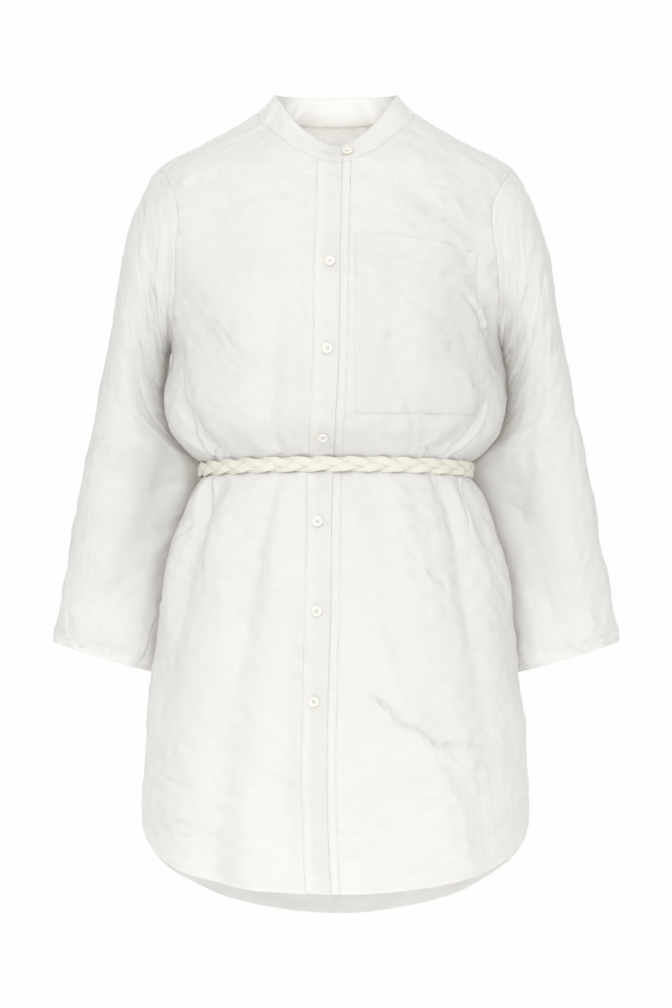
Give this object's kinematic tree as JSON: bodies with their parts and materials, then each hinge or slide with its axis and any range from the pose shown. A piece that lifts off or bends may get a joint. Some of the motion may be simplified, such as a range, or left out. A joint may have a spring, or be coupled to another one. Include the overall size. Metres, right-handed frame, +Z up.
{
  "type": "belted blouse",
  "caption": "Long loose linen tunic blouse with stand collar, buttoned front band, patch pocket, wide sleeves, curved tail hem and a plaited belt, in its worn hollow form.",
  "frame": {"origin": "midway between the shoulders at the level of the neck points, where the wearer carries the garment", "axes": "+X towards the wearer's left, -Y to the front, +Z up"},
  "size_m": [0.6288, 0.2968, 0.9246],
  "materials": {
    "linen": "plain off-white linen weave, matt",
    "belt": "ivory linen tubes, plaited",
    "button": "pale shell-like plastic, soft gloss"
  },
  "bodies": {
    "root": {"front_right": "linen", "front_left": "linen", "back": "linen", "yoke": "linen", "sleeve_right": "linen", "sleeve_left": "linen", "collar_band": "linen", "placket_right": "linen", "placket_left": "linen", "pocket": "linen", "button_collar": "button", "button_1": "button", "button_2": "button", "button_3": "button", "button_4": "button", "button_5": "button", "button_6": "button", "belt_strand_a": "belt", "belt_strand_b": "belt", "belt_strand_c": "belt", "belt_knot": "belt"}
  },
  "joints": []
}
